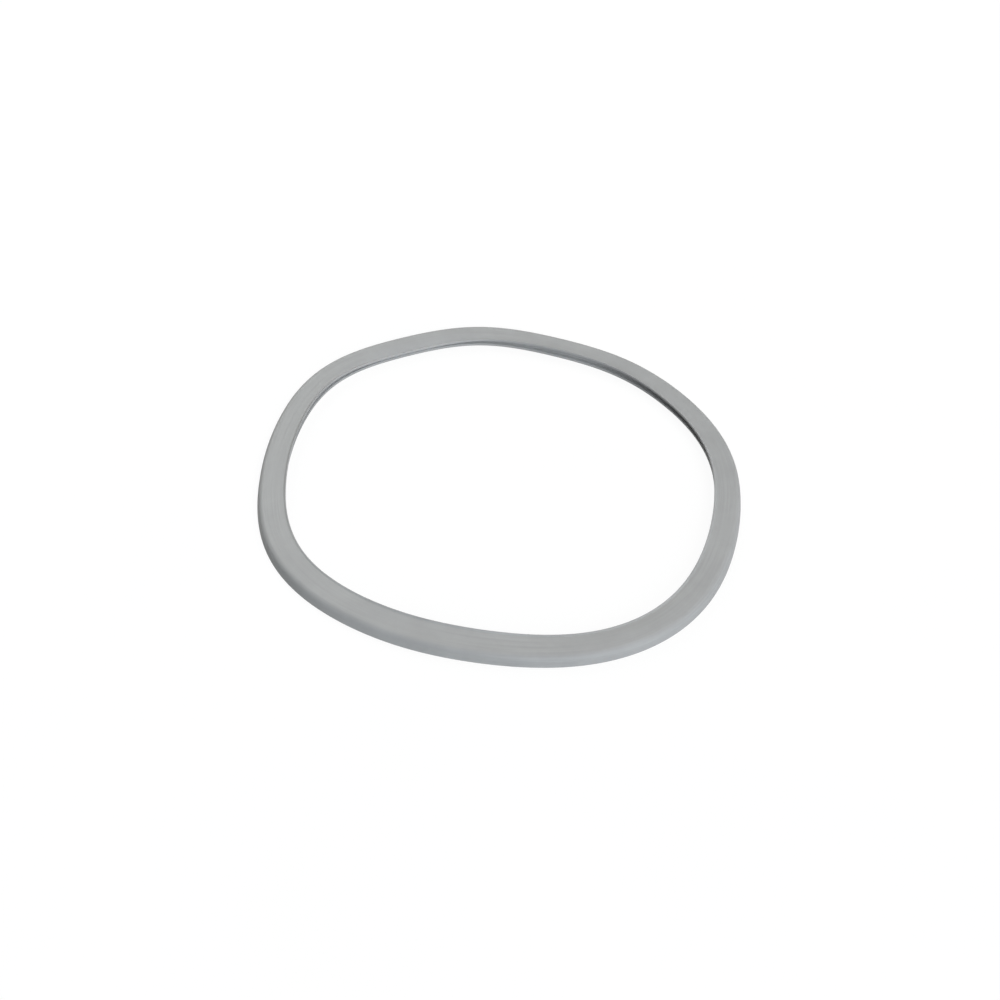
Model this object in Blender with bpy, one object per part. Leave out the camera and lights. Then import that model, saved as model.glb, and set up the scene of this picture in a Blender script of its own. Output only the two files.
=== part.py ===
"""Sealing ring of a stovetop pressure cooker, moulded in one piece of silicone rubber.

Metres, +Z up. The ring lies on its lower lip, with the middle of its box over the origin. Its section
is a C that opens towards the middle of the ring: a web at the rim, a top lip and a lower lip, with a
narrow channel between them that lets the steam spread the lips against the lid and the pot.
"""

import math

import bmesh
import bpy
from mathutils import Vector

# Driving dimensions. Offsets across the section are measured outwards from the ring's centre line.
RING_RADIUS = 0.1125  # mean radius of the centre line
HEIGHT = 0.0057  # from the underside to the flat of the top face
TOP_LIP_EDGE = -0.0064  # inner edge of the top lip
LOWER_LIP_EDGE = -0.0056  # inner edge of the lower lip, which is shorter
LOWER_LIP_UNDERCUT = 0.0007  # how far the foot of that edge stands back
SHOULDER_EDGE = 0.0063  # where the top face would meet the outer wall
BASE_EDGE = 0.0074  # where the outer wall, which leans outwards, would meet the underside
CHANNEL_ROOT = -0.0033  # bottom of the channel, so the web is what lies outside it
TOP_LIP_THICKNESS = 0.0010
LOWER_LIP_THICKNESS = 0.0022
LIP_TAPER = 0.0003  # each lip gets this much thinner towards its edge

# The top lip ends in a low bead.
BEAD_WIDTH = 0.0011
BEAD_RISE = 0.0007

# Radii of the rounded corners.
SHOULDER_ROUND = 0.0028
BASE_ROUND = 0.0005
LIP_ROUND = 0.0003
LOWER_LIP_FOOT_ROUND = 0.0007
CHANNEL_ROUND = 0.0007
BEAD_FOOT_ROUND = 0.0012
BEAD_TIP_ROUND = 0.00025

# The ring is soft and doesn't lie as a perfect circle. Each lobe: how many times round, how far the
# centre line moves out and in, and the direction in degrees of one outward lobe.
LOBES = (
    (2, 0.00157, -45),
    (3, 0.00047, -27),
    (4, 0.00186, 38),
    (5, 0.00091, 11),
    (6, 0.00035, 29),
    (7, 0.00040, -2),
    (8, 0.00027, 9),
    (9, 0.00024, 18),
    (10, 0.00010, -6),
)

# The top lip droops and lifts as it goes round. Each wave: how many times round, how far the edge
# drops and lifts, and the direction in degrees of one low place.
LIP_WAVES = (
    (2, 0.00040, -56),
    (3, 0.00027, -13),
    (4, 0.00051, 33),
)

# Besides the waves, one stretch of the top lip has sunk: the direction of its lowest place, how far
# the edge has sunk there, and half the width of the stretch, with the directions in degrees.
LIP_DIP = (118, 0.0009, 40)

LIP_HINGE = 0.0015  # offset at which the top face starts to bend

SEGMENTS = 120  # round the ring
ARC_STEPS = 4  # on each rounded corner

SILICONE_GREY = (0.36, 0.365, 0.365, 1.0)
SILICONE_ROUGHNESS = 0.55


def clear_scene():
    for scene_object in list(bpy.data.objects):
        bpy.data.objects.remove(scene_object, do_unlink=True)


def silicone_material():
    material = bpy.data.materials.new("silicone")
    material.use_nodes = True
    shader = material.node_tree.nodes["Principled BSDF"]
    shader.inputs["Base Color"].default_value = SILICONE_GREY
    shader.inputs["Roughness"].default_value = SILICONE_ROUGHNESS
    shader.inputs["Metallic"].default_value = 0.0
    return material


def section_corners():
    """The C section's sharp corners, once round it: offset, height and the corner's radius."""
    lip_underside = HEIGHT - TOP_LIP_THICKNESS
    return (
        (BASE_EDGE, 0.0, BASE_ROUND),
        (SHOULDER_EDGE, HEIGHT, SHOULDER_ROUND),
        (TOP_LIP_EDGE + BEAD_WIDTH, HEIGHT, BEAD_FOOT_ROUND),
        (TOP_LIP_EDGE, HEIGHT + BEAD_RISE, BEAD_TIP_ROUND),
        (TOP_LIP_EDGE, lip_underside + LIP_TAPER, LIP_ROUND),
        (CHANNEL_ROOT, lip_underside, CHANNEL_ROUND),
        (CHANNEL_ROOT, LOWER_LIP_THICKNESS, CHANNEL_ROUND),
        (LOWER_LIP_EDGE, LOWER_LIP_THICKNESS - LIP_TAPER, LIP_ROUND),
        (LOWER_LIP_EDGE + LOWER_LIP_UNDERCUT, 0.0, LOWER_LIP_FOOT_ROUND),
    )


def rounded_outline(corners):
    """The closed outline through the corners, with an arc of its own radius at each."""
    outline = []
    for index, (offset, height, radius) in enumerate(corners):
        corner = Vector((offset, height))
        to_last = (Vector(corners[index - 1][:2]) - corner).normalized()
        to_next = (Vector(corners[(index + 1) % len(corners)][:2]) - corner).normalized()
        half_angle = to_last.angle(to_next) / 2
        centre = corner + (to_last + to_next).normalized() * radius / math.sin(half_angle)
        first_way = (corner + to_last * radius / math.tan(half_angle) - centre).normalized()
        last_way = (corner + to_next * radius / math.tan(half_angle) - centre).normalized()
        for step in range(ARC_STEPS + 1):
            outline.append(centre + first_way.slerp(last_way, step / ARC_STEPS) * radius)
    return outline


def waves_at(angle, waves):
    """The sum of waves of (count, size, direction in degrees) at an angle, and its slope."""
    total = 0.0
    slope = 0.0
    for count, size, direction in waves:
        phase = count * (angle - math.radians(direction))
        total += size * math.cos(phase)
        slope -= size * count * math.sin(phase)
    return total, slope


def centre_line(angle):
    """A point of the ring's centre line, and the direction straight out from it."""
    lobe, lobe_slope = waves_at(angle, LOBES)
    radius = RING_RADIUS + lobe
    ray = Vector((math.cos(angle), math.sin(angle)))
    side = Vector((-ray.y, ray.x))
    tangent = ray * lobe_slope + side * radius
    outwards = Vector((tangent.y, -tangent.x)).normalized()
    return ray * radius, outwards


def edge_drop_at(angle):
    """How far the top lip's edge drops at an angle, by the waves and by the dip."""
    wave, _ = waves_at(angle, LIP_WAVES)
    direction, depth, half_width = LIP_DIP
    away = abs((math.degrees(angle) - direction + 180) % 360 - 180) / half_width
    return wave + depth * math.cos(min(away, 1) * math.pi / 2) ** 2


def lip_drop(offset, height, edge_drop):
    """How far a point of the section drops where the top lip's edge drops by edge_drop."""
    in_top_lip = height > (HEIGHT - TOP_LIP_THICKNESS + LOWER_LIP_THICKNESS) / 2
    if not in_top_lip or offset > LIP_HINGE:
        return 0.0
    reach = (LIP_HINGE - offset) / (LIP_HINGE - TOP_LIP_EDGE)
    return edge_drop * reach**2


def ring_points(outline):
    """The section's outline at each step round the ring, with the middle of the box at x = y = 0."""
    rings = []
    for segment in range(SEGMENTS):
        angle = 2 * math.pi * segment / SEGMENTS
        place, outwards = centre_line(angle)
        edge_drop = edge_drop_at(angle)
        ring = []
        for offset, height in outline:
            point = place + outwards * offset
            ring.append(Vector((point.x, point.y, height - lip_drop(offset, height, edge_drop))))
        rings.append(ring)
    every_x = [point.x for ring in rings for point in ring]
    every_y = [point.y for ring in rings for point in ring]
    middle = Vector((min(every_x) + max(every_x), min(every_y) + max(every_y), 0.0)) / 2
    return [[point - middle for point in ring] for ring in rings]


def build_sealing_ring():
    rings = ring_points(rounded_outline(section_corners()))
    shape = bmesh.new()
    vertices = [[shape.verts.new(point) for point in ring] for ring in rings]
    for segment in range(SEGMENTS):
        here = vertices[segment - 1]
        ahead = vertices[segment]
        for index in range(len(here)):
            shape.faces.new((here[index - 1], here[index], ahead[index], ahead[index - 1]))
    bmesh.ops.recalc_face_normals(shape, faces=shape.faces[:])
    mesh = bpy.data.meshes.new("sealing_ring")
    shape.to_mesh(mesh)
    shape.free()
    mesh.shade_smooth()
    mesh.set_sharp_from_angle(angle=math.radians(40))
    mesh.materials.append(silicone_material())
    sealing_ring = bpy.data.objects.new("sealing_ring", mesh)
    bpy.context.scene.collection.objects.link(sealing_ring)


clear_scene()
build_sealing_ring()
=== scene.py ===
import math

import bpy
import numpy as np
from mathutils import Matrix, Vector


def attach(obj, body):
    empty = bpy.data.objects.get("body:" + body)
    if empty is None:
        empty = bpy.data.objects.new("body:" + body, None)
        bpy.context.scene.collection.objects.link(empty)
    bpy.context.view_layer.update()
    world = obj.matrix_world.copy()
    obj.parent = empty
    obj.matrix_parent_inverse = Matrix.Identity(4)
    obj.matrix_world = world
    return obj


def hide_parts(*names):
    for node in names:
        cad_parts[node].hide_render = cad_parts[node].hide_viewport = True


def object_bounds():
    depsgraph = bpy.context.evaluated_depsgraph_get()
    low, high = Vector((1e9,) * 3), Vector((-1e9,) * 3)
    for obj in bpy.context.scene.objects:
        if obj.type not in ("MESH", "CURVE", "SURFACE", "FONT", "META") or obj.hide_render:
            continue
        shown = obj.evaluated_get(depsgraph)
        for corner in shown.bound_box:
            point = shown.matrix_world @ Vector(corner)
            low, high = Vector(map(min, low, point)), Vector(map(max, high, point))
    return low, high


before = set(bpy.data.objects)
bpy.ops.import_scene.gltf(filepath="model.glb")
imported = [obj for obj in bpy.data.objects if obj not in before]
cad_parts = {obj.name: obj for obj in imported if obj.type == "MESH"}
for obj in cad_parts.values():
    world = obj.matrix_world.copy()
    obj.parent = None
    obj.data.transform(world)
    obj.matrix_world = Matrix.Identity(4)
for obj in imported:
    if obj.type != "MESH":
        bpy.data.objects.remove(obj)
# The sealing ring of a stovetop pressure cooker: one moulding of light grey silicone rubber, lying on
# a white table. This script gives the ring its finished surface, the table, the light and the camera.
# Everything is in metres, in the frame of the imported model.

CAD_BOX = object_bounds()

# The section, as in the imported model. Offsets are measured outwards from the ring's centre line.
RING_RADIUS = 0.1125  # mean radius of the centre line
HEIGHT = 0.0057  # from the underside to the flat of the top face
TOP_LIP_EDGE = -0.0064
LOWER_LIP_EDGE = -0.0056
LOWER_LIP_UNDERCUT = 0.0007
SHOULDER_EDGE = 0.0063
BASE_EDGE = 0.0074
CHANNEL_ROOT = -0.0033
TOP_LIP_THICKNESS = 0.0010
LOWER_LIP_THICKNESS = 0.0022
LIP_TAPER = 0.0003
BEAD_WIDTH = 0.0011
BEAD_RISE = 0.0007
SHOULDER_ROUND = 0.0028
BASE_ROUND = 0.0005
LIP_ROUND = 0.0003
LOWER_LIP_FOOT_ROUND = 0.0007
CHANNEL_ROUND = 0.0007
BEAD_FOOT_ROUND = 0.0012
BEAD_TIP_ROUND = 0.00025

# How the soft ring lies: (count round the ring, size, direction in degrees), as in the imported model.
LOBES = (
    (2, 0.00157, -45),
    (3, 0.00047, -27),
    (4, 0.00186, 38),
    (5, 0.00091, 11),
    (6, 0.00035, 29),
    (7, 0.00040, -2),
    (8, 0.00027, 9),
    (9, 0.00024, 18),
    (10, 0.00010, -6),
)
LIP_WAVES = (
    (2, 0.00040, -56),
    (3, 0.00027, -13),
    (4, 0.00051, 33),
)
LIP_DIP = (118, 0.0009, 40)  # direction, depth and half-width of the stretch that has sunk
LIP_HINGE = 0.0015

# The finished surface's mesh.
SEGMENTS = 600  # round the ring
ARC_STEPS = 8  # on each rounded corner
LONGEST_STEP = 0.0004  # on the straight runs of the section

# The camera, which looks along +Y and down.
CAMERA_AZIMUTH = math.radians(-90)
CAMERA_ELEVATION = math.radians(43.65)
CAMERA_ROLL = math.radians(4.0)
CAMERA_DISTANCE = 0.618
CAMERA_AIM = Vector((-0.0002, -0.0163, 0.0))
LENS_MM = 45.85
SENSOR_MM = 36.0

# The soft lights: azimuth from +X towards +Y, elevation, both in degrees, then strength and colour.
KEY_LIGHT = (-60, 25, 3.42, (0.895, 0.954, 1.0))
FILL_LIGHT = (120, 35, 1.91, (0.967, 1.0, 0.982))
TOP_LIGHT = (30, 60, 1.37, (1.0, 0.96, 0.93))
LIGHT_SPREAD = math.radians(45)

# The silicone. Each noise has a scale, a detail and a roughness.
NOISE_MIDDLE = 0.5
CLOUD_NOISE = (38.0, 5.0, 0.68)
CLOUD_TONE_RANGE = (0.32, 0.68)  # of the clouds' noise, from the darkest grey to the lightest
SILICONE_GREYS = (0.299, 0.336)
CLOUD_GLOSS_RANGE = (0.3, 0.7)  # of the clouds' noise, from the glossiest to the most matte
SILICONE_ROUGHNESS = (0.50, 0.62)
STREAK_NOISE = (1.0, 3.0, 0.55)
STREAK_STRETCH = (22.0, 22.0, 1000.0)  # makes them long round the ring and fine across it
STREAK_SWING = (-0.2, 0.2)
STREAK_TONES = (0.955, 1.045)  # what the grey is multiplied by, over that swing
STREAK_DEPTH = 0.00004
WEAR_NOISE = (17.0, 1.0, 0.5)
WEAR_RANGE = (0.35, 0.65)  # of the wear's noise, from the faintest streaks to the strongest
STREAK_STRENGTHS = (0.2, 1.8)
GRAIN_NOISE = (3000.0, 2.0, 0.6)
GRAIN_DEPTH = 0.00002
SILICONE_SETTINGS = {
    "IOR": 1.41,
    "Subsurface Weight": 0.10,
    "Subsurface Radius": (1.0, 0.95, 0.9),
    "Subsurface Scale": 0.0008,
    "Sheen Weight": 0.06,
    "Sheen Roughness": 0.5,
}

# The table. It glows white, and less of its glow lights the ring than the camera sees.
TABLE_SIZE = 8.0
TABLE_GLOW = 0.93
TABLE_BOUNCE = 0.55
MOTTLE_NOISE = (9.0, 3.0, 0.5)
TABLE_GREYS = (0.055, 0.065)
TABLE_SETTINGS = {
    "Roughness": 0.9,
    "Specular IOR Level": 0.1,
    "Emission Color": (1, 1, 1, 1),
}


def section_corners():
    """The C section's sharp corners, once round it: offset, height and the corner's radius.

    The list starts in the channel's root, so that the seam in the streaks is hidden there.
    """
    lip_underside = HEIGHT - TOP_LIP_THICKNESS
    return (
        (CHANNEL_ROOT, LOWER_LIP_THICKNESS, CHANNEL_ROUND),
        (LOWER_LIP_EDGE, LOWER_LIP_THICKNESS - LIP_TAPER, LIP_ROUND),
        (LOWER_LIP_EDGE + LOWER_LIP_UNDERCUT, 0.0, LOWER_LIP_FOOT_ROUND),
        (BASE_EDGE, 0.0, BASE_ROUND),
        (SHOULDER_EDGE, HEIGHT, SHOULDER_ROUND),
        (TOP_LIP_EDGE + BEAD_WIDTH, HEIGHT, BEAD_FOOT_ROUND),
        (TOP_LIP_EDGE, HEIGHT + BEAD_RISE, BEAD_TIP_ROUND),
        (TOP_LIP_EDGE, lip_underside + LIP_TAPER, LIP_ROUND),
        (CHANNEL_ROOT, lip_underside, CHANNEL_ROUND),
    )


def rounded_outline(corners):
    """The closed outline through the corners, with an arc of its own radius at each."""
    outline = []
    for index, (offset, height, radius) in enumerate(corners):
        corner = Vector((offset, height))
        to_last = (Vector(corners[index - 1][:2]) - corner).normalized()
        to_next = (Vector(corners[(index + 1) % len(corners)][:2]) - corner).normalized()
        half_angle = to_last.angle(to_next) / 2
        centre = corner + (to_last + to_next).normalized() * radius / math.sin(half_angle)
        first_way = (corner + to_last * radius / math.tan(half_angle) - centre).normalized()
        last_way = (corner + to_next * radius / math.tan(half_angle) - centre).normalized()
        for step in range(ARC_STEPS + 1):
            outline.append(centre + first_way.slerp(last_way, step / ARC_STEPS) * radius)
    return outline


def finely_stepped(outline):
    """The same outline with points added, so that no step is longer than LONGEST_STEP."""
    stepped = []
    for index, point in enumerate(outline):
        ahead = outline[(index + 1) % len(outline)]
        steps = max(1, math.ceil((ahead - point).length / LONGEST_STEP))
        stepped += [point.lerp(ahead, step / steps) for step in range(steps)]
    return np.array(stepped)


def waves_at(angles, waves):
    """The sum of waves of (count, size, direction in degrees) at the angles, and its slope."""
    total = np.zeros_like(angles)
    slope = np.zeros_like(angles)
    for count, size, direction in waves:
        phase = count * (angles - math.radians(direction))
        total += size * np.cos(phase)
        slope -= size * count * np.sin(phase)
    return total, slope


def centre_line(angles):
    """Points of the ring's centre line, and the direction straight out from each."""
    lobes, lobe_slopes = waves_at(angles, LOBES)
    rays = np.stack([np.cos(angles), np.sin(angles)], axis=1)
    sides = np.stack([-np.sin(angles), np.cos(angles)], axis=1)
    radii = RING_RADIUS + lobes
    tangents = rays * lobe_slopes[:, None] + sides * radii[:, None]
    outwards = np.stack([tangents[:, 1], -tangents[:, 0]], axis=1)
    outwards /= np.linalg.norm(outwards, axis=1)[:, None]
    return rays * radii[:, None], outwards


def edge_drops_at(angles):
    """How far the top lip's edge drops at the angles, by the waves and by the dip."""
    waves, _ = waves_at(angles, LIP_WAVES)
    direction, depth, half_width = LIP_DIP
    away = np.abs((np.degrees(angles) - direction + 180) % 360 - 180) / half_width
    return waves + depth * np.cos(np.minimum(away, 1) * math.pi / 2) ** 2


def lip_drops(offsets, heights, edge_drops):
    """How far each point of each section drops as the top lip waves."""
    in_top_lip = heights > (HEIGHT - TOP_LIP_THICKNESS + LOWER_LIP_THICKNESS) / 2
    reach = np.clip((LIP_HINGE - offsets) / (LIP_HINGE - TOP_LIP_EDGE), 0, None)
    return edge_drops[:, None] * np.where(in_top_lip, reach**2, 0)[None, :]


def ring_points(outline, angles):
    """The section's outline at each angle, as an array of (angle, outline point, x y z).

    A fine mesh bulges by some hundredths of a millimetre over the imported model's flat facets, so the
    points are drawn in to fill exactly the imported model's box.
    """
    places, outwards = centre_line(angles)
    offsets, heights = outline[:, 0], outline[:, 1]
    flat = places[:, None, :] + outwards[:, None, :] * offsets[None, :, None]
    z = heights[None, :] - lip_drops(offsets, heights, edge_drops_at(angles))
    points = np.concatenate([flat, z[:, :, None]], axis=2)
    low, high = points.min(axis=(0, 1)), points.max(axis=(0, 1))
    cad_low, cad_high = np.array(CAD_BOX)
    return cad_low + (points - low) * (cad_high - cad_low) / (high - low)


def ring_faces(sections, count):
    """Quads between neighbouring sections, closed both ways round."""
    section, index = np.meshgrid(np.arange(sections), np.arange(count), indexing="ij")
    next_section, next_index = (section + 1) % sections, (index + 1) % count
    corners = (
        section * count + index,
        section * count + next_index,
        next_section * count + next_index,
        next_section * count + index,
    )
    return np.stack(corners, axis=2).reshape(-1, 4)[:, ::-1]


def store_lay(mesh, outline, angles):
    """Stores where each point lies for the streaks.

    x and y are its direction round the ring, and z is its way along the section.
    """
    steps = np.linalg.norm(np.roll(outline, -1, axis=0) - outline, axis=1)
    lay = np.empty((len(angles), len(outline), 3))
    lay[:, :, 0] = RING_RADIUS * np.cos(angles)[:, None]
    lay[:, :, 1] = RING_RADIUS * np.sin(angles)[:, None]
    lay[:, :, 2] = np.concatenate([[0], np.cumsum(steps)[:-1]])[None, :]
    attribute = mesh.attributes.new("lay", "FLOAT_VECTOR", "POINT")
    attribute.data.foreach_set("vector", lay.reshape(-1))


def build_ring_surface():
    outline = finely_stepped(rounded_outline(section_corners()))
    angles = np.linspace(0, 2 * math.pi, SEGMENTS, endpoint=False)
    points = ring_points(outline, angles)
    mesh = bpy.data.meshes.new("ring_surface")
    mesh.from_pydata(points.reshape(-1, 3).tolist(), [], ring_faces(*points.shape[:2]).tolist())
    mesh.shade_smooth()
    store_lay(mesh, outline, angles)
    mesh.materials.append(silicone_material())
    surface = bpy.data.objects.new("ring_surface", mesh)
    bpy.context.scene.collection.objects.link(surface)
    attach(surface, "root")
    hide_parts("sealing_ring")


def node_material(name):
    """A new material, and a function that adds a node to it with its settings and links."""
    material = bpy.data.materials.new(name)
    material.use_nodes = True
    tree = material.node_tree

    def add(kind, links=(), **settings):
        node = tree.nodes.new(kind)
        for key, value in settings.items():
            if hasattr(node, key):
                setattr(node, key, value)
            else:
                node.inputs[key.replace("_", " ")].default_value = value
        for socket, source in dict(links).items():
            tree.links.new(source, node.inputs[socket])
        return node

    return material, add


def noise(add, place, settings):
    """A noise of about 0 to 1 over the places, from its scale, detail and roughness."""
    scale, detail, roughness = settings
    links = {"Vector": place}
    node = add("ShaderNodeTexNoise", links, Scale=scale, Detail=detail, Roughness=roughness)
    return node.outputs["Fac"]


def remapped(add, source, start, end):
    """The source's values, moved from the start's range to the end's and held inside it."""
    node = add("ShaderNodeMapRange", {"Value": source})
    node.inputs["From Min"].default_value, node.inputs["From Max"].default_value = start
    node.inputs["To Min"].default_value, node.inputs["To Max"].default_value = end
    return node.outputs["Result"]


def grey_ramp(add, source, positions, greys):
    """Greys from the first to the second, as the source goes from the first position to the second."""
    node = add("ShaderNodeValToRGB", {"Fac": source})
    for element, position, grey in zip(node.color_ramp.elements, positions, greys):
        element.position = position
        element.color = (grey, grey, grey, 1)
    return node.outputs["Color"]


def streak_marks(add, place):
    """The mould's streaks, which swing about zero, strong in some stretches of the ring."""
    lay = add("ShaderNodeAttribute", attribute_name="lay").outputs["Vector"]
    stretched = add("ShaderNodeVectorMath", {0: lay}, operation="MULTIPLY")
    stretched.inputs[1].default_value = STREAK_STRETCH
    streaks = noise(add, stretched.outputs[0], STREAK_NOISE)
    swing = add("ShaderNodeMath", {0: streaks}, operation="SUBTRACT")
    swing.inputs[1].default_value = NOISE_MIDDLE
    strength = remapped(add, noise(add, place, WEAR_NOISE), WEAR_RANGE, STREAK_STRENGTHS)
    marks = add("ShaderNodeMath", {0: swing.outputs[0], 1: strength}, operation="MULTIPLY")
    return marks.outputs[0]


def silicone_material():
    """Light grey silicone rubber, with faint clouding, the mould's fine streaks and a soft sheen."""
    material, add = node_material("silicone_rubber")
    shader = material.node_tree.nodes["Principled BSDF"]
    link = material.node_tree.links.new
    place = add("ShaderNodeTexCoord").outputs["Object"]
    clouds = noise(add, place, CLOUD_NOISE)
    marks = streak_marks(add, place)

    tone = grey_ramp(add, clouds, CLOUD_TONE_RANGE, SILICONE_GREYS)
    streak_tone = remapped(add, marks, STREAK_SWING, STREAK_TONES)
    colour = add("ShaderNodeVectorMath", {0: tone, 1: streak_tone}, operation="MULTIPLY")
    link(colour.outputs[0], shader.inputs["Base Color"])
    roughness = remapped(add, clouds, CLOUD_GLOSS_RANGE, SILICONE_ROUGHNESS)
    link(roughness, shader.inputs["Roughness"])

    streaked = add("ShaderNodeBump", {"Height": marks}, Strength=1.0, Distance=STREAK_DEPTH)
    grained = add(
        "ShaderNodeBump",
        {"Height": noise(add, place, GRAIN_NOISE), "Normal": streaked.outputs["Normal"]},
        Strength=1.0,
        Distance=GRAIN_DEPTH,
    )
    link(grained.outputs["Normal"], shader.inputs["Normal"])

    for socket, value in SILICONE_SETTINGS.items():
        shader.inputs[socket].default_value = value
    return material


def table_material():
    """A plain white table, which glows so that it stays white under the soft light."""
    material, add = node_material("white_table")
    shader = material.node_tree.nodes["Principled BSDF"]
    link = material.node_tree.links.new
    place = add("ShaderNodeTexCoord").outputs["Object"]
    tone = grey_ramp(add, noise(add, place, MOTTLE_NOISE), (0, 1), TABLE_GREYS)
    link(tone, shader.inputs["Base Color"])
    seen = add("ShaderNodeLightPath").outputs["Is Camera Ray"]
    glow = remapped(add, seen, (0, 1), (TABLE_BOUNCE, TABLE_GLOW))
    link(glow, shader.inputs["Emission Strength"])
    for socket, value in TABLE_SETTINGS.items():
        shader.inputs[socket].default_value = value
    return material


def build_table():
    half = TABLE_SIZE / 2
    corners = [(-half, -half, 0), (half, -half, 0), (half, half, 0), (-half, half, 0)]
    mesh = bpy.data.meshes.new("table")
    mesh.from_pydata(corners, [], [(0, 1, 2, 3)])
    mesh.materials.append(table_material())
    table = bpy.data.objects.new("table", mesh)
    bpy.context.scene.collection.objects.link(table)


def direction(azimuth, elevation):
    """The unit vector towards a light or the camera, from its azimuth and elevation in radians."""
    across = math.cos(elevation)
    return Vector((across * math.cos(azimuth), across * math.sin(azimuth), math.sin(elevation)))


def add_soft_light(name, azimuth, elevation, strength, colour):
    """A very large light, so far away that it comes from one direction all over the table."""
    lamp = bpy.data.lights.new(name, "SUN")
    lamp.angle = LIGHT_SPREAD
    lamp.energy = strength
    lamp.color = colour
    light = bpy.data.objects.new(name, lamp)
    towards = direction(math.radians(azimuth), math.radians(elevation))
    light.rotation_mode = "QUATERNION"
    light.rotation_quaternion = towards.to_track_quat("Z", "Y")
    bpy.context.scene.collection.objects.link(light)


def set_world():
    """A white backdrop where the camera looks past the table. It lights nothing: the lamps do that."""
    world = bpy.data.worlds.new("studio")
    bpy.context.scene.world = world
    world.use_nodes = True
    nodes, links = world.node_tree.nodes, world.node_tree.links
    nodes.clear()
    backdrop = nodes.new("ShaderNodeBackground")
    backdrop.inputs["Color"].default_value = (1, 1, 1, 1)
    rays = nodes.new("ShaderNodeLightPath")
    output = nodes.new("ShaderNodeOutputWorld")
    links.new(rays.outputs["Is Camera Ray"], backdrop.inputs["Strength"])
    links.new(backdrop.outputs[0], output.inputs["Surface"])


def add_camera():
    lens = bpy.data.cameras.new("camera")
    lens.lens = LENS_MM
    lens.sensor_width = SENSOR_MM
    camera = bpy.data.objects.new("camera", lens)
    towards = direction(CAMERA_AZIMUTH, CAMERA_ELEVATION)
    level = towards.to_track_quat("Z", "Y").to_matrix().to_4x4()
    roll = Matrix.Rotation(CAMERA_ROLL, 4, "Z")
    camera.matrix_world = Matrix.Translation(CAMERA_AIM + towards * CAMERA_DISTANCE) @ level @ roll
    bpy.context.scene.collection.objects.link(camera)
    bpy.context.scene.camera = camera


bpy.context.scene.view_settings.view_transform = "Standard"
add_camera()
build_ring_surface()
build_table()
set_world()
add_soft_light("key", *KEY_LIGHT)
add_soft_light("fill", *FILL_LIGHT)
add_soft_light("top", *TOP_LIGHT)
